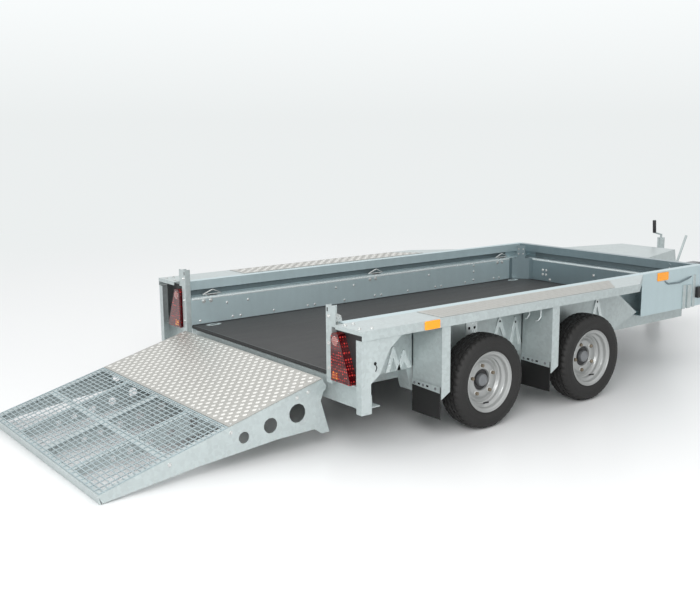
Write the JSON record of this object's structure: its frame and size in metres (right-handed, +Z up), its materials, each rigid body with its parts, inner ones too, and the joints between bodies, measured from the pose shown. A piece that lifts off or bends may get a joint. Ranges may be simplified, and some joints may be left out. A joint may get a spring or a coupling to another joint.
{
  "type": "twin-axle plant trailer",
  "caption": "Galvanised flat plant trailer with side walls, treadplate-topped mudguards and a full-width rear ramp lowered to the floor.",
  "frame": {"origin": "centre of the footprint, on the floor", "axes": "+Z up, +Y the way it is towed, +X its right-hand side"},
  "size_m": [2.156, 5.782, 0.8461],
  "materials": {
    "galvanised": "hot-dip galvanised, matt grey with a faint spangle",
    "aluminium": "bright treadplate",
    "phenolic": "dark film-faced birch plywood with a fine anti-slip surface",
    "rubber": "matt black rubber",
    "tyre": "black tyre rubber",
    "wheel_steel": "silver wheel paint",
    "lamp": "moulded lamp lens, red with amber and clear parts",
    "cast_steel": "zinc plated casting, grey"
  },
  "bodies": {
    "chassis": {"axle_front": "galvanised", "axle_rear": "galvanised", "bucket_rest": "galvanised", "chassis_frame": "galvanised", "corner_gusset_left": "galvanised", "corner_gusset_right": "galvanised", "coupling_head": "cast_steel", "coupling_housing": "cast_steel", "drawbar": "galvanised", "floor_board": "phenolic", "guard_partition_middle_left": "galvanised", "guard_partition_middle_right": "galvanised", "guard_partition_rear_left": "galvanised", "guard_partition_rear_right": "galvanised", "handbrake_lever": "galvanised", "headboard": "galvanised", "jockey_clamp_tube": "galvanised", "mudflap_middle_left": "rubber", "mudflap_middle_right": "rubber", "mudflap_rear_left": "rubber", "mudflap_rear_right": "rubber", "rear_cross_member": "galvanised", "rear_frame_left": "galvanised", "rear_frame_right": "galvanised", "rear_lamp_left": "lamp", "rear_lamp_right": "lamp", "side_platform_left": "galvanised", "side_platform_right": "galvanised", "side_wall_left": "galvanised", "side_wall_right": "galvanised", "tread_inlay_left": "aluminium", "tread_inlay_right": "aluminium"},
    "ramp": {"ramp_frame": "galvanised", "ramp_mesh": "galvanised", "ramp_treadplate": "aluminium", "ramp_spring_left": "galvanised", "ramp_spring_right": "galvanised"},
    "wheel_front_left": {"wheel_rim_front_left": "wheel_steel", "wheel_tyre_front_left": "tyre"},
    "wheel_front_right": {"wheel_rim_front_right": "wheel_steel", "wheel_tyre_front_right": "tyre"},
    "wheel_rear_left": {"wheel_rim_rear_left": "wheel_steel", "wheel_tyre_rear_left": "tyre"},
    "wheel_rear_right": {"wheel_rim_rear_right": "wheel_steel", "wheel_tyre_rear_right": "tyre"},
    "jockey_slide": {"jockey_inner_tube": "galvanised"},
    "jockey_swivel": {"jockey_fork": "galvanised"},
    "jockey_roller": {"jockey_wheel": "rubber"}
  },
  "joints": [
    {"name": "ramp_hinge", "type": "hinge", "parent": "chassis", "child": "ramp", "pos_m": [0, -1.66403, 0.325], "axis": [-1, 0, 0], "range_deg": [0, 105]},
    {"name": "wheel_spin_front_left", "type": "hinge", "parent": "chassis", "child": "wheel_front_left", "pos_m": [-0.9885, 0.09897, 0.262], "axis": [1, 0, 0], "continuous": true},
    {"name": "wheel_spin_front_right", "type": "hinge", "parent": "chassis", "child": "wheel_front_right", "pos_m": [0.9885, 0.09897, 0.262], "axis": [1, 0, 0], "continuous": true},
    {"name": "wheel_spin_rear_left", "type": "hinge", "parent": "chassis", "child": "wheel_rear_left", "pos_m": [-0.9885, -0.76303, 0.262], "axis": [1, 0, 0], "continuous": true},
    {"name": "wheel_spin_rear_right", "type": "hinge", "parent": "chassis", "child": "wheel_rear_right", "pos_m": [0.9885, -0.76303, 0.262], "axis": [1, 0, 0], "continuous": true},
    {"name": "jockey_lift", "type": "slide", "parent": "chassis", "child": "jockey_slide", "axis": [0, 0, 1], "range_m": [0, 0.09]},
    {"name": "jockey_turn", "type": "hinge", "parent": "jockey_slide", "child": "jockey_swivel", "pos_m": [-0.2, 2.58547, 0], "axis": [0, 0, 1], "continuous": true},
    {"name": "jockey_roll", "type": "hinge", "parent": "jockey_swivel", "child": "jockey_roller", "pos_m": [-0.2, 2.53047, 0.09], "axis": [1, 0, 0], "continuous": true}
  ]
}
